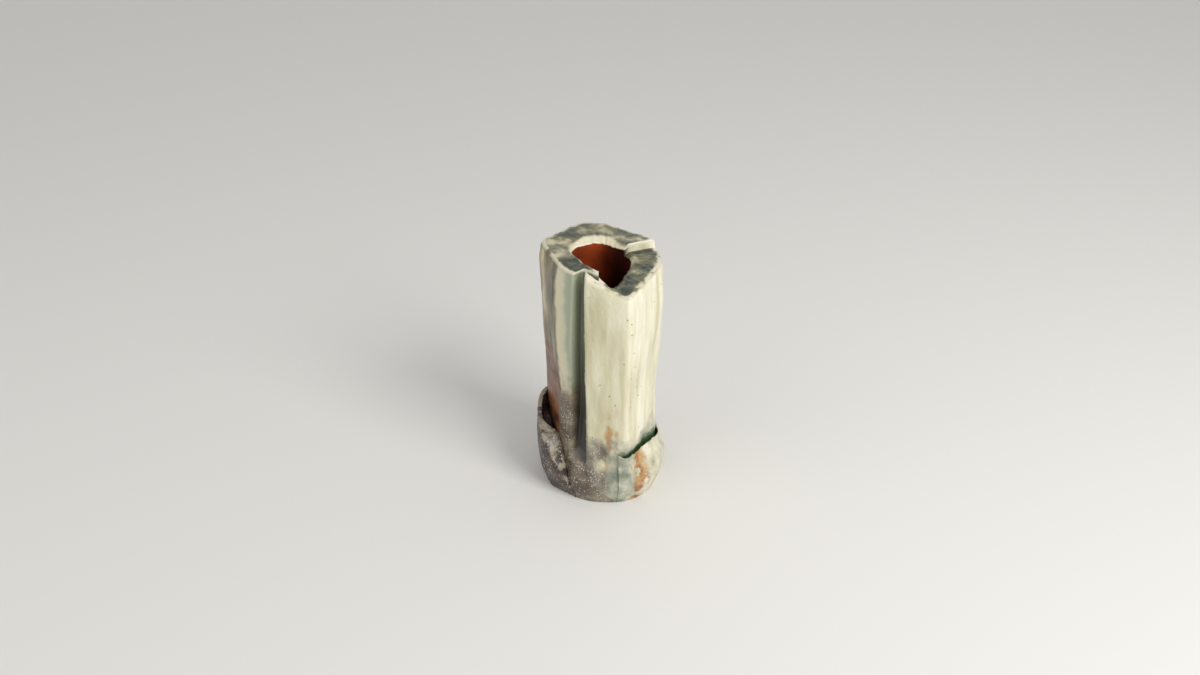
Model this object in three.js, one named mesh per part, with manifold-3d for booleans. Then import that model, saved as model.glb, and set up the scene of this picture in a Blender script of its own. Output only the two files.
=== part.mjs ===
// A wood-fired stoneware flower vase: a thick-walled column with knife-cut faces, a torn and stepped rim,
// a deep groove down its front left, and slabs of clay wrapped round its foot.
//
// The potter's pieces are modelled as the slabs that they were before the firing joined them:
//   floor_slab    the stepped disc that closes the bore
//   back_wall     the higher wall: left, back and a toe that runs forward under the front wall
//   front_wall    the lower wall, with a tongue that laps over the end of the back wall
//   left_sheath   the slab round the foot's left and back, its lip standing free of the column as a pocket
//   right_sheath  the slab round the foot's right, with a slit between its lip and the column
//
// Millimetres, +Z up. The origin is the middle of the underside. Angles are in degrees round the Z axis,
// counted from +X on the viewer's right towards +Y at the back, so the viewer stands at 270.

import * as THREE from "three";
import { mergeVertices } from "three/addons/utils/BufferGeometryUtils.js";
import Module from "manifold-3d";

const wasm = await Module();
wasm.setup();

// Sizes that can be changed by themselves.
const height = 235; // underside to the highest rim
const columnReach = 47; // axis to a middling face of the column
const footSpread = 9; // how far the foot stands out past the column
const boreRadius = 24; // the round bore below the mouth
const mouthDepth = 55; // how far down the leaf-shaped mouth runs before the bore is round
const floorThickness = 14; // clay under the water
const floorStep = 6; // how far the floor slab's flange reaches under the walls
const flangeThickness = 7; // that flange
const tongueThickness = 8; // the front wall's tongue, which is also the depth of the groove
const rimRounding = 4; // fillet on the rim's outer edge
const mouthBevel = 4; // fall of the rim towards the mouth
const lipThickness = 4; // free lip of the left sheath
const pocketDepth = 17; // pocket behind that lip
const slitWidth = 2.2; // slit behind the right sheath's lip
const slitDepth = 9;
const footRounding = 5; // how far the foot draws in at the floor
const footTopHeight = 60; // where the foot's swelling has died out
const leastSheath = 6; // clay of a sheath, at its thinnest
const clearance = 0.3; // between pieces that the firing joined

// Faces that the knife cut on the column: the way each one faces, and how far it stands out past columnReach.
const columnFaces = [
  { facing: 10, proud: 1.5 },
  { facing: 51, proud: 0 },
  { facing: 88, proud: 7.5 },
  { facing: 133, proud: 4.3 },
  { facing: 198, proud: -5.5 },
  { facing: 231, proud: -5 },
  { facing: 253, proud: -2 },
  { facing: 328, proud: 0.5 },
];

// Flats patted on the foot, past columnReach + footSpread.
const footFaces = [
  { facing: 20, proud: 1.5 },
  { facing: 62, proud: -1 },
  { facing: 102, proud: 0 },
  { facing: 143, proud: -0.5 },
  { facing: 190, proud: 0 },
  { facing: 236, proud: -3.5 },
  { facing: 268, proud: -1.5 },
  { facing: 305, proud: 3.2 },
  { facing: 345, proud: 3.5 },
];

// Spoon cuts round the mouth, past boreRadius: a leaf that points to the front.
const mouthFaces = [
  { facing: 10, proud: 2 },
  { facing: 50, proud: -3.5 },
  { facing: 108, proud: -2 },
  { facing: 145, proud: 4.5 },
  { facing: 180, proud: 1.5 },
  { facing: 214, proud: -5 },
  { facing: 333, proud: 4.6 },
];

const faceRounding = 22; // a higher power leaves sharper corners between faces
const footFaceRounding = 14;
const mouthRounding = 16;

// Where the pieces part, in degrees.
const rightSeam = 24; // back wall and front wall, at the right
const lapEnd = 268; // the back wall's end under the tongue, short of the mouth's point
const grooveEdge = 252; // the tongue's torn edge, along the groove
const toeEnd = 284; // where the back wall's toe dies out
const sheathSeam = 98; // left and right sheath, at the back
const rightSheathStart = 287;
const leftSheathEnd = 243;

// Heights along an edge, as [angle, height] stations.
const rimDrop = [[grooveEdge, 0], [292, 12.4], [305, 9.7], [327, 8.1], [351, 7], [rightSeam + 360, 7.5]];
const toeTop = [[230, 42], [grooveEdge, 36], [268, 17], [toeEnd, 2.5]];
const leftSheathTop = [
  [sheathSeam, 62], [130, 74], [158, 76], [175, 69], [194, 61], [205, 56], [212, 50], [220, 39],
  [228, 29], [237, 16], [leftSheathEnd, 5],
];
const rightSheathTop = [[rightSheathStart, 57], [330, 54], [352, 52], [372, 60], [395, 63], [sheathSeam + 360, 56]];

// The column's width along its height, as a share of its width at the rim.
const columnWidth = [[0, 0.985], [0.42, 0.985], [0.55, 1], [0.68, 1.035], [0.8, 1.055], [0.93, 1.045], [1, 1]];

const degree = Math.PI / 180;
const { lerp, smoothstep } = THREE.MathUtils;

// Straight runs between stations.
function along(stations, x) {
  const last = stations.length - 1;
  if (x <= stations[0][0]) return stations[0][1];
  for (let i = 1; i <= last; i++) {
    const [x0, y0] = stations[i - 1];
    const [x1, y1] = stations[i];
    if (x <= x1) return lerp(y0, y1, (x - x0) / (x1 - x0));
  }
  return stations[last][1];
}

// Distance from the axis to a ring of flat cuts. Summing powers of the planes rounds the corners between them.
function cutRadius(faces, reach, power, angle) {
  let sum = 0;
  for (const face of faces) {
    const lean = Math.cos((angle - face.facing) * degree);
    if (lean > 0) sum += (lean / (reach + face.proud)) ** power;
  }
  return sum ** (-1 / power);
}

// Shallow waves that the knife leaves on the cut faces.
function knifeWave(angle, z) {
  return 0.45 * Math.sin(3 * angle * degree + z / 19) + 0.35 * Math.sin(7 * angle * degree - z / 11 + 2);
}

function columnRadius(angle, z) {
  const shape = cutRadius(columnFaces, columnReach, faceRounding, angle);
  return shape * along(columnWidth, z / height) + knifeWave(angle, z);
}

function footRadius(angle, z) {
  const shape = cutRadius(footFaces, columnReach + footSpread, footFaceRounding, angle);
  const drawnIn = footRounding * (1 - smoothstep(z, -6, 22));
  const belly = 1.6 * Math.sin(Math.PI * THREE.MathUtils.clamp(z / 80, 0, 1));
  return shape + belly - drawnIn + 0.5 * knifeWave(angle, z);
}

// The column's face, drawn in behind the sheaths so that each keeps its thickness down to the floor.
function coreRadius(angle, z) {
  const behindSheath = footRadius(angle, z) - leastSheath + 20 * smoothstep(z, 40, 75);
  return Math.min(columnRadius(angle, z), behindSheath);
}

// The column's face where no sheath covers it: it swells into the foot.
function bareRadius(angle, z) {
  const swell = 1 - smoothstep(z, 4, footTopHeight);
  const bare = smoothstep(angle, 212, 242) * (1 - smoothstep(angle, rightSheathStart - 8, rightSheathStart));
  return lerp(coreRadius(angle, z), footRadius(angle, z), swell * bare);
}

function boreWall(angle, z) {
  const mouth = cutRadius(mouthFaces, boreRadius, mouthRounding, angle);
  return lerp(boreRadius, mouth, smoothstep(z, height - mouthDepth, height - 8));
}

// How deep the back wall is cut away for the groove, and beyond it for the tongue that laps it.
function lapDepth(angle, z) {
  const start = lerp(227, 240, smoothstep(z, 70, height));
  return tongueThickness * smoothstep(angle, start, start + 9);
}

// The rim rounds over at its outer edge.
function rounded(radius, z, top) {
  const t = THREE.MathUtils.clamp((z - (top - rimRounding)) / rimRounding, 0, 1);
  return radius - rimRounding * 0.6 * (1 - Math.sqrt(1 - t * t));
}

// A flat slab bent round the axis: length along the angle, thickness from its outer face inwards, height up.
// Each limit is a function of the angle, so the slab takes the shape of what it is pressed against.
// swell moves every face outwards, which gives the tool that cuts a neighbour back to its clearance.
function bentSlab({ from, to, outer, inner, bottom, top, steps }, swell = 0) {
  const slab = new THREE.BoxGeometry(1, 1, 1, ...steps).translate(0.5, 0.5, 0.5);
  slab.deleteAttribute("normal");
  slab.deleteAttribute("uv");
  const place = slab.getAttribute("position");
  for (let i = 0; i < place.count; i++) {
    const run = place.getX(i);
    const depth = place.getY(i);
    const rise = place.getZ(i);
    const angle = lerp(from, to, run);
    const low = bottom(angle);
    const high = top(angle, depth);
    const packed = rise - 0.085 * Math.sin(2 * Math.PI * rise); // closer rows at the foot and the rim
    const z = lerp(low, high, packed);
    const face = outer(angle, z, high) + swell;
    const back = inner(angle, z) - swell;
    const radius = lerp(face, back, depth);
    const aside = run === 0 ? -swell : run === 1 ? swell : 0;
    const a = angle * degree;
    const lift = rise === 0 ? -swell : rise === 1 ? swell : 0;
    place.setXYZ(
      i,
      radius * Math.cos(a) - aside * Math.sin(a),
      radius * Math.sin(a) + aside * Math.cos(a),
      z + lift,
    );
  }
  return solid(slab);
}

// Closed geometry to a manifold solid and back.
function solid(geometry) {
  const bare = geometry.clone();
  bare.deleteAttribute("normal");
  bare.deleteAttribute("uv");
  const merged = mergeVertices(bare, 1e-4);
  const mesh = new wasm.Mesh({
    numProp: 3,
    vertProperties: new Float32Array(merged.getAttribute("position").array),
    triVerts: new Uint32Array(merged.index.array),
  });
  return new wasm.Manifold(mesh);
}

function geometryOf(manifold) {
  const mesh = manifold.getMesh();
  const geometry = new THREE.BufferGeometry();
  geometry.setAttribute("position", new THREE.BufferAttribute(mesh.vertProperties, 3));
  geometry.setIndex(new THREE.BufferAttribute(mesh.triVerts, 1));
  return geometry.toNonIndexed();
}

// The disc that closes the bore: a flange under the walls and a plug inside them.
function floorSlab(swell = 0) {
  const flange = boreRadius + floorStep + swell;
  const plug = boreRadius - clearance + swell;
  const profile = [
    new THREE.Vector2(0, -swell),
    new THREE.Vector2(flange, -swell),
    new THREE.Vector2(flange, flangeThickness + swell),
    new THREE.Vector2(plug, flangeThickness + swell),
    new THREE.Vector2(plug, floorThickness - 2),
    new THREE.Vector2(plug - 2, floorThickness),
    new THREE.Vector2(0, floorThickness - 1),
  ];
  const disc = new THREE.LatheGeometry(profile, 56);
  return solid(disc.rotateX(Math.PI / 2));
}

// The back wall's rim is nearly level, falls towards the mouth and is higher along the back.
function backRim(angle, depth) {
  const uneven = 0.8 * Math.sin(angle * 0.07) - 0.8;
  const fall = mouthBevel * smoothstep(depth, 0.7, 1);
  return height + uneven - fall;
}

function frontRim(angle, depth) {
  return height - along(rimDrop, angle) - 0.4 * mouthBevel * smoothstep(depth, 0.7, 1);
}

function backWall(swell = 0) {
  const panel = bentSlab(
    {
      from: rightSeam,
      to: lapEnd,
      outer: (angle, z, top) => rounded(bareRadius(angle, z) - lapDepth(angle, z), z, top),
      inner: boreWall,
      bottom: () => 0,
      top: backRim,
      steps: [48, 2, 13],
    },
    swell,
  );
  const toe = bentSlab(
    {
      from: 222,
      to: toeEnd,
      outer: (angle, z) => bareRadius(angle, z) + 8 * swell, // the cutting tool reaches past the face
      inner: () => boreRadius + floorStep + 3,
      bottom: () => 0,
      top: (angle) => along(toeTop, angle),
      steps: [12, 1, 4],
    },
    swell,
  );
  return panel.add(toe);
}

function frontWall(swell = 0) {
  const panel = {
    from: lapEnd,
    to: rightSeam + 360,
    outer: (angle, z, top) => rounded(bareRadius(angle, z), z, top),
    inner: boreWall,
    bottom: () => 0,
    top: frontRim,
    steps: [22, 2, 13],
  };
  const tongue = {
    from: grooveEdge,
    to: lapEnd + 4,
    outer: panel.outer,
    inner: (angle, z) => bareRadius(angle, z) - tongueThickness,
    bottom: () => 0,
    top: (angle) => frontRim(angle, 0),
    steps: [7, 1, 13],
  };
  return bentSlab(panel, swell).add(bentSlab(tongue, swell));
}

function leftSheath() {
  const top = (angle) => along(leftSheathTop, angle);
  const sheath = bentSlab({
    from: sheathSeam + clearance / columnReach / degree,
    to: leftSheathEnd,
    outer: footRadius,
    inner: () => columnReach - 9,
    bottom: () => 0,
    top,
    steps: [26, 1, 7],
  });
  const pocket = bentSlab({
    from: 158,
    to: 203,
    outer: (angle, z) => footRadius(angle, z) - lipThickness,
    inner: () => columnReach - 9,
    bottom: (angle) => top(angle) - pocketDepth,
    top: (angle) => top(angle) + 8,
    steps: [12, 1, 4],
  });
  return sheath.subtract(pocket);
}

function rightSheath() {
  const top = (angle) => along(rightSheathTop, angle);
  const shoulder = (angle, z, high) => footRadius(angle, z) - 5 * smoothstep(z, high - 14, high + 2);
  const sheath = bentSlab({
    from: rightSheathStart,
    to: sheathSeam + 360,
    outer: shoulder,
    inner: () => columnReach - 9,
    bottom: () => 0,
    top,
    steps: [28, 1, 7],
  });
  const slit = bentSlab({
    from: rightSheathStart + 3,
    to: 355,
    outer: (angle, z) => coreRadius(angle, z) + slitWidth,
    inner: () => columnReach - 9,
    bottom: (angle) => top(angle) - slitDepth,
    top: (angle) => top(angle) + 4,
    steps: [12, 1, 2],
  });
  return sheath.subtract(slit);
}

// Each piece is cut back from those it seats on, with the clearance all round.
const floor = floorSlab();
const floorSeat = floorSlab(clearance);
const back = backWall().subtract(floorSeat);
const backSeat = backWall(clearance);
const front = frontWall().subtract(backSeat).subtract(floorSeat);
const frontSeat = frontWall(clearance);
const left = leftSheath().subtract(backSeat).subtract(frontSeat);
const right = rightSheath().subtract(backSeat).subtract(frontSeat);

const ashGlaze = new THREE.MeshStandardMaterial({ color: 0xd9d2b4, roughness: 0.42, metalness: 0 });
const mossGlaze = new THREE.MeshStandardMaterial({ color: 0x8f8a68, roughness: 0.4, metalness: 0 });
const scorchedClay = new THREE.MeshStandardMaterial({ color: 0x6d5a4c, roughness: 0.7, metalness: 0 });
const bareClay = new THREE.MeshStandardMaterial({ color: 0x9a5836, roughness: 0.85, metalness: 0 });

function piece(name, manifold, material) {
  const mesh = new THREE.Mesh(geometryOf(manifold), material);
  mesh.name = name;
  return mesh;
}

const vase = new THREE.Group();
vase.name = "vase";
vase.add(
  piece("floor_slab", floor, bareClay),
  piece("back_wall", back, mossGlaze),
  piece("front_wall", front, ashGlaze),
  piece("left_sheath", left, scorchedClay),
  piece("right_sheath", right, ashGlaze),
);

export default vase;
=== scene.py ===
import math
import bpy
import bmesh
import numpy as np
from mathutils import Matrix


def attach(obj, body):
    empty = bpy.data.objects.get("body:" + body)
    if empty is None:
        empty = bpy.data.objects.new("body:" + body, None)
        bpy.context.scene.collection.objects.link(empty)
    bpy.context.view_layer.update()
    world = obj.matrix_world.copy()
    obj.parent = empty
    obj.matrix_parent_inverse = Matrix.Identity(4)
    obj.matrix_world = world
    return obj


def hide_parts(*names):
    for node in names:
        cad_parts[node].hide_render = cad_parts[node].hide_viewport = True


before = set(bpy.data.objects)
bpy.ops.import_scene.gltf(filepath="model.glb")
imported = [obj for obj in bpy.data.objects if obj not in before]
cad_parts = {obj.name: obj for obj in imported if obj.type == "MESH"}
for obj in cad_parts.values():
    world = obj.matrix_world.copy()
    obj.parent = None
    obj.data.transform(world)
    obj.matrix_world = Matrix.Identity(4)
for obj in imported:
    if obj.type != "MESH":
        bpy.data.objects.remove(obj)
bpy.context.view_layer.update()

mm = 0.001
print("vase: frame loaded")

# Sizes that the slabs share, in millimetres, and the angles where they meet, in degrees round Z.
# The viewer stands at 270, and an angle past 360 has gone on round to the right and the back.
vase = {
    "height": 235,
    "gap": 0.3,  # stands for a joint that the firing closed
    "tongue": 8,  # thickness of the clay that laps the groove
    "rightSeam": 24,  # the front wall ends and the back wall begins
    "grooveEdge": 252,  # the tongue's torn edge
    "lapEnd": 268,  # the back wall ends behind the tongue
    "lapOver": 0.5,  # the tongue's back runs this far past the end of the back wall
    "toeEnd": 284,  # the toe of the back wall ends
    "sheathSeam": 98,  # the sheaths meet at the back
    "rightStart": 287,  # the right sheath begins at the front
    "leftEnd": 243,  # the left sheath ends at the front
    "rightGap": 0.3,  # left open at the right seam
    "sheathGap": 0.4,  # left open where the sheaths meet
}
turn = 360


# 0 below low, 1 above high, and 3t2 - 2t3 between
def ease(x, low, high):
    t = np.clip((x - low) / (high - low), 0, 1)
    return t * t * (3 - 2 * t)


# large odd numbers that scramble a lattice corner
scramble = {"x": 374761393, "y": 668265263, "z": 2147483647, "seed": 974634777, "mix": 1274126177}


# smooth value noise: hashed numbers at the corners of a cubic lattice, eased between them, from -1 to 1
def lumps(x, y, z, seed):
    ix, iy, iz = (np.floor(n).astype(np.int64) for n in (x, y, z))
    fx, fy, fz = (ease(n - np.floor(n), 0, 1) for n in (x, y, z))

    def corner(a, b, c):
        h = (ix + a) * scramble["x"] + (iy + b) * scramble["y"] + (iz + c) * scramble["z"]
        h = h + seed * scramble["seed"]
        h = ((h ^ (h >> 13)) * scramble["mix"]) & 0xFFFFFFFF
        return (h ^ (h >> 16)) % 65536 / 32768 - 1

    low = (corner(0, 0, 0) * (1 - fx) + corner(1, 0, 0) * fx) * (1 - fy)
    low = low + (corner(0, 1, 0) * (1 - fx) + corner(1, 1, 0) * fx) * fy
    high = (corner(0, 0, 1) * (1 - fx) + corner(1, 0, 1) * fx) * (1 - fy)
    high = high + (corner(0, 1, 1) * (1 - fx) + corner(1, 1, 1) * fx) * fy
    return low * (1 - fz) + high * fz


# lumps read along one line t, or across it as well where u is given
def lumpsAlong(t, seed, u=0):
    return lumps(t, u + 0 * t, 0 * t, seed)


# lumps at a size in mm, with halves of it added at half strength
def rough(x, y, z, size, seed, layers=3):
    total = 0
    for layer in range(layers):
        k = 2 ** layer / size
        total = total + lumps(x * k, y * k, z * k, seed + layer) / 2 ** layer
    return total


# the nearest of a ring of flat cuts: powers of cos(angle - facing) / distance are summed,
# and a lower power rounds the corners more
def cutRadius(faces, reach, power, angle):
    total = 0
    for facing, proud in faces:
        lean = np.maximum(np.cos(np.radians(angle - facing)), 0)
        total = total + (lean / (reach + proud)) ** power
    return total ** (-1 / power)


# The column, cut with a knife. A face is the angle that it looks towards and how far it stands out past
# the reach. A wave is a height, a count round the column, a rise in mm for each radian, and a start.
column = {
    "reach": 47, "power": 22,
    "faces": [(10, 3.5), (51, 0), (88, 7.5), (133, 4.3), (198, -5.5), (231, -5), (253, -2), (328, 2)],
    "heightShares": [0, 0.42, 0.55, 0.68, 0.8, 0.93, 1],
    "widths": [0.985, 0.985, 1, 1.035, 1.055, 1.045, 1],
    "waves": [(0.45, 3, 19, 0), (0.35, 7, -11, 2)],
    "leastSheath": 6,  # clay left in a sheath in front of the column
    "clear": 20, "clearRise": (40, 75),  # the sheaths stop drawing the column in above them
}


# shallow knife waves: sines of the angle, each sheared by the height
def knifeWave(angle, z):
    a = np.radians(angle)
    return sum(high * np.sin(count * a + z / rise + start) for high, count, rise, start in column["waves"])


# the ring of cuts, times a width that is read off the height, plus the knife waves
def columnRadius(angle, z):
    width = np.interp(z / vase["height"], column["heightShares"], column["widths"])
    return cutRadius(column["faces"], column["reach"], column["power"], angle) * width + knifeWave(angle, z)


# The patted foot, drawn in at the floor and with a low belly.
foot = {
    "spread": 9, "power": 14,
    "faces": [(20, 1.5), (62, -1), (102, 0), (143, -0.5), (190, 0), (236, -3.5), (268, -1.5), (305, 3.2),
              (345, 3.5)],
    "rounding": 5, "roundingRise": (-6, 22), "belly": 1.6, "bellyHeight": 80, "waveShare": 0.5,
    "bareStart": (212, 242), "bareEnd": 0.6,  # where no sheath covers it, and how fast that ends at the right
    "swellRise": (4, 60),  # the bare column swells into the foot between these heights
}


# a rounder ring of cuts, plus half a sine of belly, less an eased undercut
def footRadius(angle, z):
    shape = cutRadius(foot["faces"], column["reach"] + foot["spread"], foot["power"], angle)
    drawnIn = foot["rounding"] * (1 - ease(z, *foot["roundingRise"]))
    belly = foot["belly"] * np.sin(np.pi * np.clip(z / foot["bellyHeight"], 0, 1))
    return shape + belly - drawnIn + foot["waveShare"] * knifeWave(angle, z)


# the smaller of the column and the foot less a sheath, whose limit eases outwards higher up
def coreRadius(angle, z):
    behind = footRadius(angle, z) - column["leastSheath"] + column["clear"] * ease(z, *column["clearRise"])
    return np.minimum(columnRadius(angle, z), behind)


# the core, blended into the foot low down and where no sheath covers it
def bareRadius(angle, z):
    swell = 1 - ease(z, *foot["swellRise"])
    bare = ease(angle, *foot["bareStart"])
    bare = bare * (1 - ease(angle, vase["rightStart"], vase["rightStart"] + foot["bareEnd"]))
    return coreRadius(angle, z) * (1 - swell * bare) + footRadius(angle, z) * swell * bare


# The bore and its leaf-shaped mouth. Depths run from 0 at a slab's outer face to 1 at its inner one.
mouth = {
    "boreRadius": 24, "power": 9, "depth": 55, "straight": 8, "bevel": 4, "bevelDepths": (0.8, 1),
    "faces": [(10, 2), (50, -3.5), (108, -2), (145, 4.5), (180, 1.5), (214, -5), (333, 4.6)],
}


# a circle, eased into a ring of cuts towards the top
def boreWall(angle, z):
    leaf = cutRadius(mouth["faces"], mouth["boreRadius"], mouth["power"], angle)
    t = ease(z, vase["height"] - mouth["depth"], vase["height"] - mouth["straight"])
    return mouth["boreRadius"] * (1 - t) + leaf * t


rimEdge = {"rounding": 4, "flatness": 0.6}


# quarter-round fillet at the rim's outer edge, flattened a little
def filleted(radius, z, top):
    r = rimEdge["rounding"]
    t = np.clip((z - (top - r)) / r, 0, 1)
    return radius - rimEdge["flatness"] * r * (1 - np.sqrt(1 - t * t))


# The groove beside the tongue, and the toe of clay that runs forward below it.
groove = {
    "start": 229, "drift": 8, "driftFrom": 60, "side": 7,  # its left side moves right as it rises
    "deeper": 3, "deeperRise": (45, 110),
    "toeAngles": [230, 252, 268, 284], "toeHeights": [42, 36, 17, 2.5], "toeSlope": (-2, 9),
    "toeOverlap": 0.1, "toeBack": 33,  # it starts inside the wall, and its back is a circle of this radius
}


# straight lines between the toe's heights; the depth through the slab makes no difference
def toeTop(angle, depth=0):
    return np.interp(angle, groove["toeAngles"], groove["toeHeights"])


# 1 in the groove, 0 on the ridge to its left and below the top of the toe, eased between
def grooveShare(angle, z):
    start = groove["start"] + groove["drift"] * ease(z, groove["driftFrom"], vase["height"])
    low, high = groove["toeSlope"]
    above = ease(z, toeTop(angle) + low, toeTop(angle) + high)
    return ease(angle, start, start + groove["side"]) * above


# Relief under a finish, in mm: broad lumps, drawn out in height by a stretch under 1, and fine ones.
glazeGrain = {"broad": 0.22, "size": 10, "stretch": 0.5, "fine": 0.14, "fineSize": 1.6, "seed": 31}
clayGrain = {"broad": 0.35, "size": 6, "stretch": 1, "fine": 0.24, "fineSize": 1.1, "seed": 41}


# broad roughness plus fine lumps, the fine ones with a seed past those that the broad ones used
def relief(grain, x, y, z):
    broad = grain["broad"] * rough(x, y, z * grain["stretch"], grain["size"], grain["seed"])
    small = grain["fineSize"]
    return broad + grain["fine"] * lumps(x / small, y / small, z / small, grain["seed"] + 3)


# How the slabs' grids are laid: rows crowd at the top and bottom, columns lie close beside a step.
mesher = {
    "crowding": 0.085, "besideStep": (-0.3, -0.02, 0.02, 0.3), "leastThickness": 0.25,
    "smoothFloor": (0.5, 4),  # the relief fades out towards the floor, in mm
    "merge": 2e-6,  # metres
}


# Walks a slab's cross-section (up its outer face, over its top, down its inner face, back underneath)
# round the axis, and closes both ends. depth and rise run from 0 to 1 through the slab.
# Two columns lie close on each side of a step, so that it stays one sharp radial wall.
def bentStretch(spec):
    rise = np.linspace(0, 1, spec["rows"] + 1)
    rise = rise - mesher["crowding"] * np.sin(2 * np.pi * rise)
    depth = np.linspace(0, 1, spec["through"] + 1)
    ring = np.concatenate([
        np.stack([0 * rise, rise], 1)[:-1], np.stack([depth, 0 * depth + 1], 1)[:-1],
        np.stack([0 * rise + 1, rise[::-1]], 1)[:-1], np.stack([depth[::-1], 0 * depth], 1)[:-1],
    ])
    beside = [step + side for step in spec.get("steps", []) for side in mesher["besideStep"]]
    angles = np.sort(np.append(np.linspace(spec["from"], spec["to"], spec["along"] + 1), beside))
    cap = np.stack(np.meshgrid(depth, rise, indexing="ij"), -1).reshape(-1, 2)

    # angle, depth and rise to a point: its height lies between bottom and top, its radius between the faces
    def place(a, d, s):
        low = spec["bottom"](a)
        z = low + (spec["top"](a, d) - low) * s
        if "ragged" in spec:
            a = a + spec["ragged"](a, z)
        outer = spec["outer"](a, z, spec["top"](a, 0 * d))
        inner = spec["inner"](a, z)
        x, y = np.cos(np.radians(a)), np.sin(np.radians(a))
        grain = relief(spec["grain"], x * outer, y * outer, z) * ease(z, *mesher["smoothFloor"])
        r = np.maximum(outer + grain, inner + mesher["leastThickness"]) * (1 - d) + inner * d
        return np.stack([x * r, y * r, z], -1), np.stack([d, s + 0 * d, a, z], -1)

    a, k = np.meshgrid(angles, np.arange(len(ring)), indexing="ij")
    body, bodyInfo = place(a, ring[k, 0], ring[k, 1])
    n, m = a.shape
    i, j = np.meshgrid(np.arange(n - 1), np.arange(m), indexing="ij")
    quads = np.stack([i * m + j, (i + 1) * m + j, (i + 1) * m + (j + 1) % m, i * m + (j + 1) % m], -1)
    points, info, faces = [body.reshape(-1, 3)], [bodyInfo.reshape(-1, 4)], [quads.reshape(-1, 4)]
    rows = len(rise)
    i, j = np.meshgrid(np.arange(len(depth) - 1), np.arange(rows - 1), indexing="ij")
    capQuads = np.stack([i * rows + j, i * rows + j + 1, (i + 1) * rows + j + 1, (i + 1) * rows + j], -1)
    capQuads = capQuads.reshape(-1, 4)
    for angle, turned in ((angles[0], False), (angles[-1], True)):
        start = sum(len(p) for p in points)
        end, endInfo = place(np.full(len(cap), angle), cap[:, 0], cap[:, 1])
        points.append(end)
        info.append(endInfo)
        faces.append(start + (capQuads[:, ::-1] if turned else capQuads))
    return np.concatenate(points), np.concatenate(faces), np.concatenate(info)


# Where the glazes change on a slab, as shares of its rise and its depth.
marks = {
    "rim": (0.985, 1), "inside": (0.8, 1), "insideTop": 0.999, "edge": (0.02, 0.1), "ledge": (0.3, 0.55),
    "bevel": 0.86, "bevelSoft": 0.08, "wider": 0.12, "widerFrom": (40, 70), "widerTo": (120, 150),
    "outerHalf": 0.5,
}


# Points in mm to a smooth-shaded mesh in metres, doubles merged and faces turned outwards, with attributes
# that the glazes read, each eased between its marks: inside is 1 on the bore, rim on the top, bevel beside
# the mouth (wider at the back), edge at the rim's outer edge, ledge on the inner half of the top, groove
# where ash pooled beside the tongue. around holds the angle.
def makeMesh(name, points, faces, info):
    mesh = bpy.data.meshes.new(name)
    mesh.from_pydata((points * mm).tolist(), [], faces.tolist())
    depth, rise, angle, z = info.T
    rim = ease(rise, *marks["rim"])
    wider = marks["wider"] * ease(angle, *marks["widerFrom"])
    band = marks["bevel"] - wider * (1 - ease(angle, *marks["widerTo"]))
    values = {
        "inside": ease(depth, *marks["inside"]) * (rise < marks["insideTop"]),
        "rim": rim,
        "bevel": rim * ease(depth, band, band + marks["bevelSoft"]),
        "edge": rim * (1 - ease(depth, *marks["edge"])),
        "ledge": rim * ease(depth, *marks["ledge"]),
        "groove": grooveShare(angle, z) * (depth < marks["outerHalf"]),
        "around": angle,
    }
    for label, value in values.items():
        layer = mesh.attributes.new(label, "FLOAT", "POINT")
        layer.data.foreach_set("value", value.astype(np.float32))
    work = bmesh.new()
    work.from_mesh(mesh)
    bmesh.ops.remove_doubles(work, verts=work.verts, dist=mesher["merge"])
    bmesh.ops.recalc_face_normals(work, faces=work.faces)
    work.to_mesh(mesh)
    work.free()
    mesh.shade_smooth()
    piece = bpy.data.objects.new(name, mesh)
    bpy.context.collection.objects.link(piece)
    print("vase:", name, len(mesh.vertices), "points")
    return piece


# One slab from its stretches, which differ from it only in what each one states.
def makeSlab(name, slab, shape, finish):
    points, faces, info = [], [], []
    for change in slab.get("stretches", [{}]):
        p, f, n = bentStretch(slab | shape | change)
        faces.append(f + sum(len(q) for q in points))
        points.append(p)
        info.append(n)
    piece = makeMesh(name, np.concatenate(points), np.concatenate(faces), np.concatenate(info))
    piece.data.materials.append(finish())
    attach(piece, "root")
    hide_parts(slab["node"])


# a slab that stands on the floor: 0 at every angle
def onFloor(angle):
    return 0 * angle


# 0 to 255 screen colour to linear: a straight foot, then a power of 2.4
def screen(r, g, b):
    channels = [c / 255 / 12.92 if c <= 10 else ((c / 255 + 0.055) / 1.055) ** 2.4 for c in (r, g, b)]
    return (*channels, 1)


# The bore's red-brown clay, with painted shade that darkens it at the right and deep down. Heights and widths
# in the finishes are metres.
boreClayAndShade = {
    "clay": [(0.3, (92, 34, 12)), (0.7, (172, 72, 28))], "clayNoise": 40,
    "right": (34, 12, 7), "rightFade": (-0.004, 0.016), "deep": (26, 9, 5), "deepShadeFade": (0.215, 0.15),
}
surface = {"bumpStrength": 0.5, "bumpDetail": 3, "coatRoughness": 0.15, "dotCore": 0.6, "wanderDetail": 5}


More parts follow.
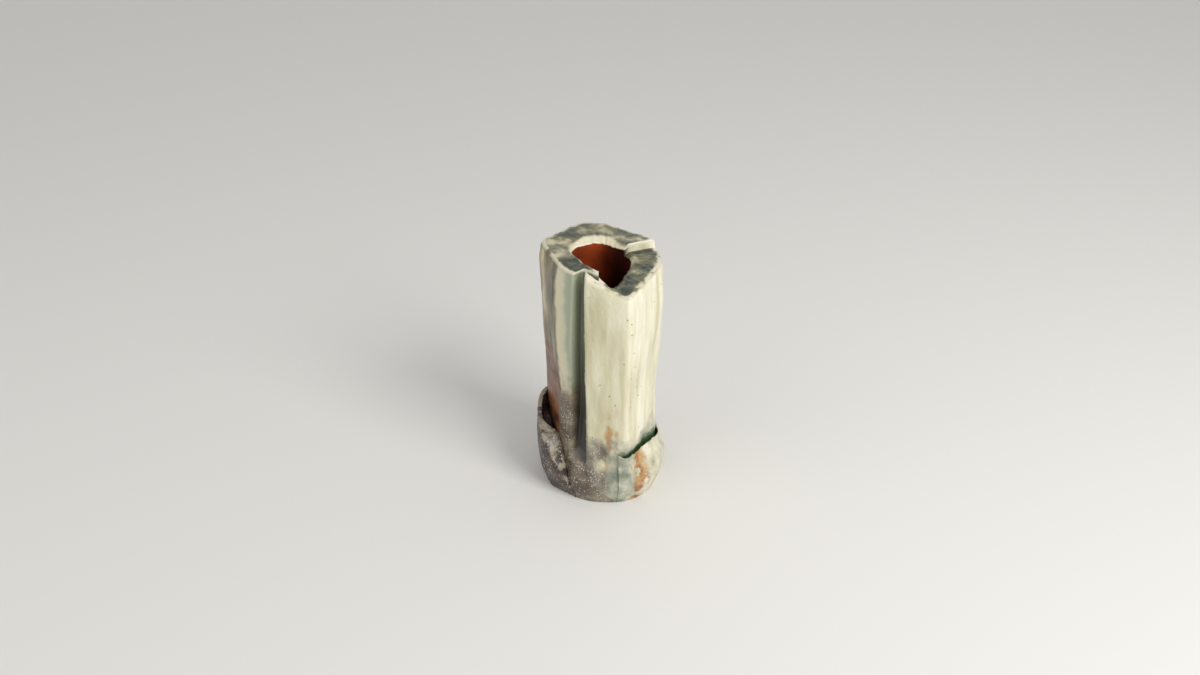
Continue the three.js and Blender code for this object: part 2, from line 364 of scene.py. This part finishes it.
# A finish's nodes, with the few helpers that the glazes share. A colour is a 0 to 255 screen colour,
# and a pair is the values where an eased share is 0 and 1.
class Glaze:
    def __init__(self, name, roughness, coat=0.0):
        self.material = bpy.data.materials.new(name)
        self.material.use_nodes = True
        self.tree = self.material.node_tree
        self.shader = self.tree.nodes["Principled BSDF"]
        self.shader.inputs["Roughness"].default_value = roughness
        self.shader.inputs["Coat Weight"].default_value = coat
        self.shader.inputs["Coat Roughness"].default_value = surface["coatRoughness"]
        self.coords = self.add("ShaderNodeTexCoord").outputs["Object"]
        split = self.add("ShaderNodeSeparateXYZ")
        self.join(self.coords, split.inputs[0])
        self.x = split.outputs["X"]
        self.z = split.outputs["Z"]

    def add(self, kind):
        return self.tree.nodes.new(kind)

    def join(self, a, b):
        self.tree.links.new(a, b)

    # fractal noise on the vase's own coordinates; a stretch under 1 draws it out along that axis
    def noise(self, scale, detail=4, stretch=(1, 1, 1)):
        mapping = self.add("ShaderNodeMapping")
        mapping.inputs["Scale"].default_value = stretch
        self.join(self.coords, mapping.inputs["Vector"])
        node = self.add("ShaderNodeTexNoise")
        node.inputs["Scale"].default_value = scale
        node.inputs["Detail"].default_value = detail
        self.join(mapping.outputs[0], node.inputs["Vector"])
        return node.outputs["Fac"]

    # 1 near scattered points, easing to 0 at a distance of size, in cells
    def dots(self, scale, size):
        node = self.add("ShaderNodeTexVoronoi")
        node.inputs["Scale"].default_value = scale
        self.join(self.coords, node.inputs["Vector"])
        return self.between(node.outputs["Distance"], size, size * surface["dotCore"])

    # 0 at low, 1 at high, eased between; low may be the larger
    def between(self, value, low, high):
        node = self.add("ShaderNodeMapRange")
        node.interpolation_type = "SMOOTHSTEP"
        node.inputs["From Min"].default_value = low
        node.inputs["From Max"].default_value = high
        self.join(value, node.inputs["Value"])
        return node.outputs["Result"]

    # a mesh attribute, by its label
    def reading(self, label):
        node = self.add("ShaderNodeAttribute")
        node.attribute_name = label
        return node.outputs["Fac"]

    # the product of its shares, taken from the left
    def times(self, first, *others):
        for other in others:
            node = self.add("ShaderNodeMath")
            node.operation = "MULTIPLY"
            self.join(first, node.inputs[0])
            self.join(other, node.inputs[1])
            first = node.outputs[0]
        return first

    # the value moved up and down by a noise, so that a border drawn on it wanders
    def wander(self, value, scale, amount):
        shift = self.add("ShaderNodeMapRange")
        shift.inputs["To Min"].default_value = -amount
        shift.inputs["To Max"].default_value = amount
        self.join(self.noise(scale, surface["wanderDetail"]), shift.inputs["Value"])
        total = self.add("ShaderNodeMath")
        self.join(value, total.inputs[0])
        self.join(shift.outputs[0], total.inputs[1])
        return total.outputs[0]

    # a ramp through the stops
    def colours(self, value, stops):
        stops = [(position, screen(*colour)) for position, colour in stops]
        node = self.add("ShaderNodeValToRGB")
        node.color_ramp.elements[0].position, node.color_ramp.elements[0].color = stops[0]
        node.color_ramp.elements[1].position, node.color_ramp.elements[1].color = stops[-1]
        for position, colour in stops[1:-1]:
            node.color_ramp.elements.new(position).color = colour
        self.join(value, node.inputs[0])
        return node.outputs[0]

    # top laid over under by a share; sockets 6, 7 and output 2 are the mix node's colours
    def over(self, share, under, top):
        node = self.add("ShaderNodeMix")
        node.data_type = "RGBA"
        self.join(share, node.inputs[0])
        for socket, value in ((node.inputs[6], under), (node.inputs[7], top)):
            if isinstance(value, tuple):
                socket.default_value = screen(*value)
            else:
                self.join(value, socket)
        return node.outputs[2]

    # the rim and then the bore, with its painted shade, are laid over the colour, and a fine bump finishes it
    def finish(self, colour, rimColour=None, bumpScale=900, bumpHeight=0.0003, bored=False):
        if rimColour is not None:
            colour = self.over(self.reading("rim"), colour, rimColour)
        if bored:
            boreWithShade = self.colours(self.noise(boreClayAndShade["clayNoise"]), boreClayAndShade["clay"])
            # painted shade: the bore darkens towards its right side and deep down
            boreWithShade = self.over(self.between(self.x, *boreClayAndShade["rightFade"]), boreWithShade, boreClayAndShade["right"])
            boreWithShade = self.over(self.between(self.z, *boreClayAndShade["deepShadeFade"]), boreWithShade, boreClayAndShade["deep"])
            colour = self.over(self.reading("inside"), colour, boreWithShade)
        self.join(colour, self.shader.inputs["Base Color"])
        bump = self.add("ShaderNodeBump")
        bump.inputs["Strength"].default_value = surface["bumpStrength"]
        bump.inputs["Distance"].default_value = bumpHeight
        self.join(self.noise(bumpScale, surface["bumpDetail"]), bump.inputs["Height"])
        self.join(bump.outputs[0], self.shader.inputs["Normal"])
        return self.material


# What more than one finish has. A noise is its scale, its detail and its stretch.
shared = {
    "rim": [(0.36, (26, 34, 16)), (0.46, (62, 66, 36)), (0.55, (106, 102, 68)), (0.68, (188, 180, 146))],
    "rimNoise": (62, 6), "worn": (212, 204, 176), "wornNoise": 80, "wornPatches": (0.4, 0.52),
    "clayNoise": (70, 6), "clayStops": (0.32, 0.5, 0.68),
    # pale specks on the clay, partly feldspar grains and partly painted glints
    "grain": (206, 200, 186), "grains": (520, 0.32), "grainAndGlintNoise": (130, 3), "grainAndGlintClusters": (0.4, 0.56),
    "runs": [(0.3, (200, 193, 156)), (0.46, (224, 217, 186)), (0.62, (239, 234, 212))],
    "runNoise": (120, 5, (1, 1, 0.11)),
    "celadon": [(0.34, (118, 124, 108)), (0.5, (156, 160, 140)), (0.66, (198, 196, 174))],
    "celadonNoise": (75, 6),
    "pit": (138, 132, 116), "pits": (150, 0.16), "pitNoise": 28, "pitPatches": (0.5, 0.6),
}


# dark green to pale olive by a noise, with the outer edge worn pale in patches
def mottledRim(glaze):
    rim = glaze.colours(glaze.noise(*shared["rimNoise"]), shared["rim"])
    patches = glaze.between(glaze.noise(shared["wornNoise"]), *shared["wornPatches"])
    return glaze.over(glaze.times(glaze.reading("edge"), patches), rim, shared["worn"])


# clay in three tones by a noise, with pale specks where a second noise is high, partly feldspar grains and
# partly painted glints
def grainyClayAndGlints(glaze, tones):
    body = glaze.colours(glaze.noise(*shared["clayNoise"]), list(zip(shared["clayStops"], tones)))
    grainAndGlintPatches = glaze.between(glaze.noise(*shared["grainAndGlintNoise"]), *shared["grainAndGlintClusters"])
    # painted glints with pale grains: clustered pale specks over the clay
    return glaze.over(glaze.times(glaze.dots(*shared["grains"]), grainAndGlintPatches), body, shared["grain"])


# cream tones by a noise that is drawn out down the face
def creamRuns(glaze):
    return glaze.colours(glaze.noise(*shared["runNoise"]), shared["runs"])


# grey-green tones by a noise
def celadonMottle(glaze):
    return glaze.colours(glaze.noise(*shared["celadonNoise"]), shared["celadon"])


# a few grey pits over a colour, where a broad noise is high
def pitted(glaze, colour):
    patches = glaze.between(glaze.noise(shared["pitNoise"]), *shared["pitPatches"])
    return glaze.over(glaze.times(glaze.dots(*shared["pits"]), patches), colour, shared["pit"])


# Back wall: olive, tan and brown ash, darker and redder towards the foot, a cream and celadon ridge beside
# the groove, and cream where it meets the front wall at the right.
moss = {
    "roughness": 0.4, "coat": 0.35, "drift": (45, 8),
    "mottle": [(0.34, (62, 58, 36)), (0.46, (104, 92, 58)), (0.56, (150, 132, 90)), (0.68, (200, 190, 150))],
    "mottleNoise": (60, 6, (1, 1, 0.35)),
    "low": [(0.35, (70, 34, 20)), (0.65, (142, 92, 52))], "lowNoise": (80, 5),
    "lowDrift": (40, 0.06), "lowFade": (0.165, 0.11),
    "ridge": [(0.1, (216, 208, 176)), (0.45, (202, 200, 172)), (0.8, (160, 166, 144))],
    "ridgeSpan": (214, 240), "ridgeStart": (208, 216), "ridgeDrift": (50, 0.05), "ridgeRise": (0.09, 0.13),
    "clay": [(72, 60, 48), (110, 98, 80), (150, 140, 118)],
    "clayStart": (206, 216), "clayFade": (0.125, 0.085), "footFade": (0.06, 0.04),
    "creamDrift": (25, 60), "creamFade": (68, 38),
    "groove": [(0.1, (40, 36, 28)), (0.9, (112, 118, 98))], "grooveRise": (0.05, 0.22),
    "bevel": (216, 207, 178), "torn": (228, 222, 198), "tornEnds": [(29, 25), (255, 262)],
}


# layers, each over the last by its share: mottle, low, ridge, clay, cream, groove; then the rim's own layers
def mossGlaze():
    glaze = Glaze("mossGlaze", moss["roughness"], moss["coat"])
    around = glaze.wander(glaze.reading("around"), *moss["drift"])
    mottle = glaze.colours(glaze.noise(*moss["mottleNoise"]), moss["mottle"])
    low = glaze.colours(glaze.noise(*moss["lowNoise"]), moss["low"])
    height = glaze.wander(glaze.z, *moss["lowDrift"])
    colour = glaze.over(glaze.between(height, *moss["lowFade"]), mottle, low)
    height = glaze.wander(glaze.z, *moss["ridgeDrift"])
    share = glaze.times(glaze.between(around, *moss["ridgeStart"]), glaze.between(height, *moss["ridgeRise"]))
    ridge = glaze.colours(glaze.between(around, *moss["ridgeSpan"]), moss["ridge"])
    colour = glaze.over(share, colour, ridge)
    clay = grainyClayAndGlints(glaze, moss["clay"])
    share = glaze.times(glaze.between(around, *moss["clayStart"]), glaze.between(height, *moss["clayFade"]))
    colour = glaze.over(share, colour, clay)
    colour = glaze.over(glaze.between(glaze.z, *moss["footFade"]), colour, clay)
    share = glaze.between(glaze.wander(glaze.reading("around"), *moss["creamDrift"]), *moss["creamFade"])
    colour = glaze.over(share, colour, pitted(glaze, creamRuns(glaze)))
    deep = glaze.colours(glaze.between(glaze.z, *moss["grooveRise"]), moss["groove"])
    colour = glaze.over(glaze.reading("groove"), colour, deep)
    rim = glaze.over(glaze.reading("bevel"), mottledRim(glaze), moss["bevel"])
    for end in moss["tornEnds"]:
        rim = glaze.over(glaze.between(glaze.reading("around"), *end), rim, moss["torn"])
    return glaze.finish(colour, rim, bored=True)


# the back of the toe is a circle
def toeInner(angle, z):
    return groove["toeBack"] + 0 * z


backWall = {
    "node": "back_wall", "slot": "moss_glaze", "grain": glazeGrain,
    "from": vase["rightSeam"], "along": 290, "rows": 120, "through": 18,
    "drop": 0.8, "sway": 0.8, "swayTurn": 0.07, "torn": 0.5, "tornWidth": 5, "tornDepth": 4, "tornSeed": 7,
    "stretches": [
        {"to": vase["lapEnd"]},
        {"from": vase["lapEnd"] - groove["toeOverlap"], "to": vase["toeEnd"],
         "top": toeTop, "inner": toeInner, "along": 30, "rows": 24, "through": 12},
    ],
    "unrounded": 1e3,  # a rim height that no fillet reaches, for the toe
}


# the vase's height, less a small drop and the mouth's bevel, with a slow sine and small lumps
def backRim(angle, depth):
    torn = backWall["torn"] * lumpsAlong(angle / backWall["tornWidth"], backWall["tornSeed"],
                                         depth * backWall["tornDepth"])
    sway = backWall["sway"] * np.sin(backWall["swayTurn"] * angle)
    bevel = mouth["bevel"] * ease(depth, *mouth["bevelDepths"])
    return vase["height"] - backWall["drop"] + sway - bevel + torn


# the bare column with its fillet, less the groove; the toe, past the lap, has no fillet
def backOuter(angle, z, top):
    cut = (vase["tongue"] + groove["deeper"] * ease(z, *groove["deeperRise"])) * grooveShare(angle, z)
    rim = np.where(angle > vase["lapEnd"], backWall["unrounded"], top)
    return filleted(bareRadius(angle, z), z, rim) - cut


backShape = {"bottom": onFloor, "top": backRim, "outer": backOuter, "inner": boreWall}
makeSlab("backWall", backWall, backShape, mossGlaze)

# Front wall: cream ash glaze in runs down the face, yellower at the left, with a scorched streak, grey-brown
# and celadon at the foot, and a dark green line above the slit, partly pooled ash and partly painted shade.
ash = {
    "roughness": 0.32, "coat": 0.5, "drift": (45, 9),
    "faint": [(0.35, (200, 193, 156)), (0.6, (226, 221, 192))], "faintNoise": (90, 5, (1, 1, 0.16)),
    "faintFade": (292, 278),
    "scorch": (190, 146, 92), "scorchSides": [(272, 279), (287, 281)],
    "scorchDrift": (90, 0.03), "scorchFade": (0.104, 0.08),
    "scorchNoise": (150, 5, (1, 1, 0.4)), "scorchPatches": (0.42, 0.56),
    "clay": [(78, 70, 60), (118, 110, 96), (154, 148, 130)],
    "clayDrift": (40, 0.06), "clayFade": (0.07, 0.04),
    "celadonStart": (274, 285), "celadonDrift": (60, 0.03), "celadonFade": (0.075, 0.045),
    # a dark green line above the slit, partly pooled ash and partly painted shade
    "pool": (58, 84, 52), "poolShadeSides": [(289, 294), (366, 352)],
    "poolShadeDrift": (160, 0.006), "poolShadeFade": (0.061, 0.056),
    "torn": (224, 216, 190), "tornFade": (278, 269),
}


# layers, each over the last by its share: runs, faint, pits, scorch, clay, celadon, pool (pooled ash with
# painted shade); then the rim
def ashGlaze():
    glaze = Glaze("ashGlaze", ash["roughness"], ash["coat"])
    around = glaze.wander(glaze.reading("around"), *ash["drift"])
    faint = glaze.colours(glaze.noise(*ash["faintNoise"]), ash["faint"])
    colour = glaze.over(glaze.between(around, *ash["faintFade"]), creamRuns(glaze), faint)
    colour = pitted(glaze, colour)
    sides = [glaze.between(around, *side) for side in ash["scorchSides"]]
    below = glaze.between(glaze.wander(glaze.z, *ash["scorchDrift"]), *ash["scorchFade"])
    patches = glaze.between(glaze.noise(*ash["scorchNoise"]), *ash["scorchPatches"])
    colour = glaze.over(glaze.times(*sides, below, patches), colour, ash["scorch"])
    low = glaze.between(glaze.wander(glaze.z, *ash["clayDrift"]), *ash["clayFade"])
    colour = glaze.over(low, colour, grainyClayAndGlints(glaze, ash["clay"]))
    low = glaze.between(glaze.wander(glaze.z, *ash["celadonDrift"]), *ash["celadonFade"])
    share = glaze.times(glaze.between(around, *ash["celadonStart"]), low)
    colour = glaze.over(share, colour, celadonMottle(glaze))
    # painted shade with pooled ash: the dark green line where the sheath meets the wall
    sides = [glaze.between(around, *side) for side in ash["poolShadeSides"]]
    below = glaze.between(glaze.wander(glaze.z, *ash["poolShadeDrift"]), *ash["poolShadeFade"])
    colour = glaze.over(glaze.times(*sides, below), colour, ash["pool"])
    rim = glaze.over(glaze.between(around, *ash["tornFade"]), mottledRim(glaze), ash["torn"])
    return glaze.finish(colour, rim, bored=True)


# The wall's rim falls away from the back wall's, by drops at its angles. Its left edge is torn.
frontWall = {
    "node": "front_wall", "slot": "ash_glaze", "grain": glazeGrain,
    "from": vase["grooveEdge"], "to": vase["rightSeam"] + turn - vase["rightGap"],
    "steps": [vase["lapEnd"] + vase["lapOver"], vase["toeEnd"], vase["rightStart"]],
    "along": 220, "rows": 170, "through": 18,
    "dropAngles": [252, 292, 305, 327, 351, 384], "drops": [0, 12.4, 9.7, 8.1, 7, 7.5],
    "bevelShare": 0.4, "torn": 0.8, "tornWidth": 4, "tornDepth": 5, "tornSeed": 8,
    "edgeWidth": 4, "edgeWaves": [(0.9, 7, 21), (0.5, 2.2, 22)],  # degrees, height in mm, seed
    "rollWidth": 5, "rollShare": 0.45,
}


# on the toe where there is one, and on the floor beyond it
def frontBottom(angle):
    return np.where(angle < vase["toeEnd"], toeTop(angle) + vase["gap"], 0)


# the vase's height, less straight lines between the drops and part of the mouth's bevel, with small lumps
def frontRim(angle, depth):
    drop = np.interp(angle, frontWall["dropAngles"], frontWall["drops"])
    torn = frontWall["torn"] * lumpsAlong(angle / frontWall["tornWidth"], frontWall["tornSeed"],
                                          depth * frontWall["tornDepth"])
    bevel = frontWall["bevelShare"] * mouth["bevel"] * ease(depth, *mouth["bevelDepths"])
    return vase["height"] - drop - bevel + torn


# degrees that the tongue's torn edge moves by: lumps up its height, fading away from the groove
def tornTongue(angle, z):
    near = 1 - ease(angle, vase["grooveEdge"], vase["grooveEdge"] + frontWall["edgeWidth"])
    return near * sum(wide * lumpsAlong(z / high, seed) for wide, high, seed in frontWall["edgeWaves"])


# the bare column with its fillet, rolled over into the groove on a quarter round
def frontOuter(angle, z, top):
    t = np.clip(1 - (angle - vase["grooveEdge"]) / frontWall["rollWidth"], 0, 1)
    roll = frontWall["rollShare"] * vase["tongue"] * (1 - np.sqrt(1 - t * t))
    return filleted(bareRadius(angle, z), z, top) - roll


# the back of the tongue where it laps, and the bore beyond
def frontInner(angle, z):
    lapped = angle < vase["lapEnd"] + vase["lapOver"]
    return np.where(lapped, bareRadius(angle, z) - vase["tongue"] + vase["gap"], boreWall(angle, z))


frontShape = {"bottom": frontBottom, "top": frontRim, "outer": frontOuter, "inner": frontInner,
              "ragged": tornTongue}
makeSlab("frontWall", frontWall, frontShape, ashGlaze)

# Left sheath: dark grey-brown clay with white specks, partly feldspar grains melting out of it and partly
# painted glints, paler on its edge.
scorched = {
    "roughness": 0.5, "coat": 0.2, "clay": [(42, 32, 30), (72, 58, 52), (108, 94, 82)],
    "edge": (150, 142, 122), "edgeNoise": 140, "edgePatches": (0.42, 0.62),
    "bumpScale": 600, "bumpHeight": 0.0006,
}


# the clay, and on the rim a paler tone where a noise is high
def scorchedClay():
    clay = Glaze("scorchedClay", scorched["roughness"], scorched["coat"])
    colour = grainyClayAndGlints(clay, scorched["clay"])
    patches = clay.between(clay.noise(scorched["edgeNoise"]), *scorched["edgePatches"])
    colour = clay.over(clay.times(clay.reading("rim"), patches), colour, scorched["edge"])
    return clay.finish(colour, bumpScale=scorched["bumpScale"], bumpHeight=scorched["bumpHeight"])


# A free lip stands off the column, with a pocket behind it.
leftSheath = {
    "node": "left_sheath", "slot": "scorched_clay", "grain": clayGrain,
    "from": vase["sheathSeam"] + vase["sheathGap"], "to": vase["leftEnd"],
    "along": 260, "rows": 80, "through": 6,
    "edgeAngles": [98, 130, 158, 175, 194, 205, 212, 220, 228, 237, 243],
    "edgeHeights": [62, 74, 76, 69, 61, 56, 50, 39, 29, 16, 5],
    "torn": 0.7, "tornWidth": 4, "tornSeed": 5,
    "lip": 4, "pocket": 17, "pocketStart": (156, 163), "pocketEnd": (186, 206), "pocketFloor": (-2, 1),
}


# straight lines between the edge's heights, plus small lumps; the depth makes no difference
def leftTop(angle, depth=0):
    edge = np.interp(angle, leftSheath["edgeAngles"], leftSheath["edgeHeights"])
    return edge + leftSheath["torn"] * lumpsAlong(angle / leftSheath["tornWidth"], leftSheath["tornSeed"])


# the foot itself, up to the top
def leftOuter(angle, z, top):
    return footRadius(angle, z)


# against the column, eased out to the back of the lip in the pocket
def leftInner(angle, z):
    floor = leftTop(angle) - leftSheath["pocket"]
    low, high = leftSheath["pocketFloor"]
    share = ease(angle, *leftSheath["pocketStart"]) * (1 - ease(angle, *leftSheath["pocketEnd"]))
    share = share * ease(z, floor + low, floor + high)
    against = bareRadius(angle, z) + vase["gap"]
    return against * (1 - share) + np.maximum(footRadius(angle, z) - leftSheath["lip"], against) * share


leftShape = {"bottom": onFloor, "top": leftTop, "outer": leftOuter, "inner": leftInner}
makeSlab("leftSheath", leftSheath, leftShape, scorchedClay)

# Right sheath: cream over amber and brown, celadon at the front, bare clay at the back, and dark green in the
# slit, partly green glass where ash ran into it and partly painted shade.
amber = {
    "roughness": 0.3, "coat": 0.5, "specular": 0.6, "drift": (60, 16),
    "pale": [(0.32, (150, 145, 122)), (0.45, (194, 188, 158)), (0.6, (224, 218, 192))],
    "paleNoise": (75, 6, (1, 1, 0.5)),
    "amber": [(0.38, (120, 62, 26)), (0.62, (196, 150, 88))], "amberNoise": (110, 6),
    "amberSides": [(297, 304), (322, 311)], "patchNoise": (90, 5), "patches": (0.4, 0.5),
    "celadonFade": (304, 293),
    "bare": [(46, 35, 32), (76, 62, 55), (110, 96, 84)], "bareDrift": (40, 50), "bareRise": (405, 440),
    "pool": [(0.4, (24, 46, 26)), (0.62, (92, 124, 86)), (0.74, (206, 206, 180))], "poolNoise": (120, 4),
    # the slit's dark green: partly pooled green glass, partly painted shade
    "slit": (26, 44, 26),
}


# layers, each over the last by its share: pale and pits, amber, celadon, bare clay, pool, slit (pooled green
# with painted shade)
def amberGlaze():
    glaze = Glaze("amberGlaze", amber["roughness"], amber["coat"])
    around = glaze.wander(glaze.reading("around"), *amber["drift"])
    pale = glaze.colours(glaze.noise(*amber["paleNoise"]), amber["pale"])
    warm = glaze.colours(glaze.noise(*amber["amberNoise"]), amber["amber"])
    sides = [glaze.between(around, *side) for side in amber["amberSides"]]
    patches = glaze.between(glaze.noise(*amber["patchNoise"]), *amber["patches"])
    colour = glaze.over(glaze.times(*sides, patches), pitted(glaze, pale), warm)
    colour = glaze.over(glaze.between(around, *amber["celadonFade"]), colour, celadonMottle(glaze))
    back = glaze.between(glaze.wander(glaze.reading("around"), *amber["bareDrift"]), *amber["bareRise"])
    colour = glaze.over(back, colour, grainyClayAndGlints(glaze, amber["bare"]))
    pool = glaze.colours(glaze.noise(*amber["poolNoise"]), amber["pool"])
    colour = glaze.over(glaze.reading("ledge"), colour, pool)
    # painted shade with pooled green glass: dark green over the slit's inner wall
    colour = glaze.over(glaze.reading("inside"), colour, amber["slit"])
    glaze.shader.inputs["Specular IOR Level"].default_value = amber["specular"]
    return glaze.finish(colour)


# Its lip leans back over a narrow slit.
rightSheath = {
    "node": "right_sheath", "slot": "ash_glaze", "grain": clayGrain,
    "from": vase["rightStart"], "to": vase["sheathSeam"] + turn, "along": 300, "rows": 80, "through": 6,
    "edgeAngles": [287, 330, 352, 372, 395, 458], "edgeHeights": [57, 53, 49, 50, 54, 56],
    "torn": 0.9, "tornWidth": 3, "tornSeed": 6,
    "slit": 2.2, "slitDepth": 9, "slitStart": (288, 292), "slitEnd": (352, 360), "slitFloor": (-1, 1),
    "lean": 9, "leanSpan": (-22, 3), "leastLip": 1.2,
}


# straight lines between the edge's heights, plus small lumps; the depth makes no difference
def rightTop(angle, depth=0):
    edge = np.interp(angle, rightSheath["edgeAngles"], rightSheath["edgeHeights"])
    return edge + rightSheath["torn"] * lumpsAlong(angle / rightSheath["tornWidth"], rightSheath["tornSeed"])


# against the column, eased out by the slit's width above its floor
def rightInner(angle, z):
    floor = rightTop(angle) - rightSheath["slitDepth"]
    low, high = rightSheath["slitFloor"]
    share = ease(angle, *rightSheath["slitStart"]) * (1 - ease(angle, *rightSheath["slitEnd"]))
    share = share * ease(z, floor + low, floor + high)
    return bareRadius(angle, z) + vase["gap"] * (1 - share) + rightSheath["slit"] * share


# the foot less an eased lean towards the top, and never closer to the column than the slit and a thin lip
def rightOuter(angle, z, top):
    low, high = rightSheath["leanSpan"]
    leant = footRadius(angle, z) - rightSheath["lean"] * ease(z, top + low, top + high)
    return np.maximum(leant, coreRadius(angle, z) + rightSheath["slit"] + rightSheath["leastLip"])


rightShape = {"bottom": onFloor, "top": rightTop, "outer": rightOuter, "inner": rightInner}
makeSlab("rightSheath", rightSheath, rightShape, amberGlaze)
print("vase: slabs made")

# Floor slab: bare red-brown clay with pale grains, on the node as it stands.
floorClay = {
    "roughness": 0.8, "clay": [(0.35, (96, 50, 30)), (0.65, (150, 92, 60))], "clayNoise": (90, 6),
    "grain": (196, 186, 168), "grains": (420, 0.24),
}


# two tones by a noise, with grains over them
def bareClay():
    clay = Glaze("bareClay", floorClay["roughness"])
    body = clay.colours(clay.noise(*floorClay["clayNoise"]), floorClay["clay"])
    return clay.finish(clay.over(clay.dots(*floorClay["grains"]), body, floorClay["grain"]))


floorNode = bpy.data.objects["floor_slab"]
floorNode.data.materials.clear()
floorNode.data.materials.append(bareClay())

# Table and plain pale surroundings, in metres.
stage = {"floorColour": (226, 224, 219), "floorRoughness": 0.7, "floorSize": 10, "surroundings": 0.92,
         "skyLight": 0.55}
bpy.ops.mesh.primitive_plane_add(size=stage["floorSize"])
table = bpy.context.object
table.name = "table"
tableFinish = Glaze("tableFinish", stage["floorRoughness"])
tableFinish.shader.inputs["Base Color"].default_value = screen(*stage["floorColour"])
table.data.materials.append(tableFinish.material)

# the camera and mirror rays see the plain surroundings, and all else is lit by the sky light
world = bpy.data.worlds.new("studio")
bpy.context.scene.world = world
world.use_nodes = True
nodes, links = world.node_tree.nodes, world.node_tree.links
sky = nodes["Background"]
sky.inputs["Strength"].default_value = stage["skyLight"]
sky.inputs["Color"].default_value = (1, 1, 1, 1)
seen = nodes.new("ShaderNodeBackground")
seen.inputs["Color"].default_value = (stage["surroundings"],) * 3 + (1,)
path = nodes.new("ShaderNodeLightPath")
either = nodes.new("ShaderNodeMath")
either.operation = "MAXIMUM"
blend = nodes.new("ShaderNodeMixShader")
links.new(path.outputs["Is Camera Ray"], either.inputs[0])
links.new(path.outputs["Is Glossy Ray"], either.inputs[1])
links.new(either.outputs[0], blend.inputs[0])
links.new(sky.outputs[0], blend.inputs[1])
links.new(seen.outputs[0], blend.inputs[2])
links.new(blend.outputs[0], nodes["World Output"].inputs["Surface"])

# Two soft lights, in metres and watts, both aimed at the vase's middle.
lights = {
    "keyLight": {"place": (1.0, -0.9, 1.2), "size": 0.8, "watts": 19},
    "fillLight": {"place": (-1.1, -0.7, 0.9), "size": 1.2, "watts": 3},
}
lightAim = (0, 0, 0.12)


# an area lamp, tilted by the angle between straight down and its aim, and turned towards it
def softLight(name, place, size, watts):
    lamp = bpy.data.lights.new(name, "AREA")
    lamp.size = size
    lamp.energy = watts
    holder = bpy.data.objects.new(name, lamp)
    holder.location = place
    direction = [b - a for a, b in zip(place, lightAim)]
    flat = math.hypot(direction[0], direction[1])
    holder.rotation_euler = (math.atan2(flat, -direction[2]), 0, math.atan2(-direction[0], direction[1]))
    bpy.context.collection.objects.link(holder)


for name, light in lights.items():
    softLight(name, **light)

# The camera looks down at pitch degrees from a distance in metres, at a height on the axis.
view = {"pitch": 33.5, "distance": 1.0, "aim": 0.148, "focalPixels": 1135, "frameWidth": 1200, "sensor": 36}
pitch = math.radians(view["pitch"])
camera = bpy.data.cameras.new("camera")
camera.sensor_width = view["sensor"]
camera.lens = view["focalPixels"] * view["sensor"] / view["frameWidth"]
viewer = bpy.data.objects.new("camera", camera)
viewer.location = (0, -view["distance"] * math.cos(pitch), view["aim"] + view["distance"] * math.sin(pitch))
viewer.rotation_euler = (math.pi / 2 - pitch, 0, 0)
bpy.context.collection.objects.link(viewer)
bpy.context.scene.camera = viewer
bpy.context.scene.view_settings.view_transform = "Standard"
print("vase: stage, light and camera set")
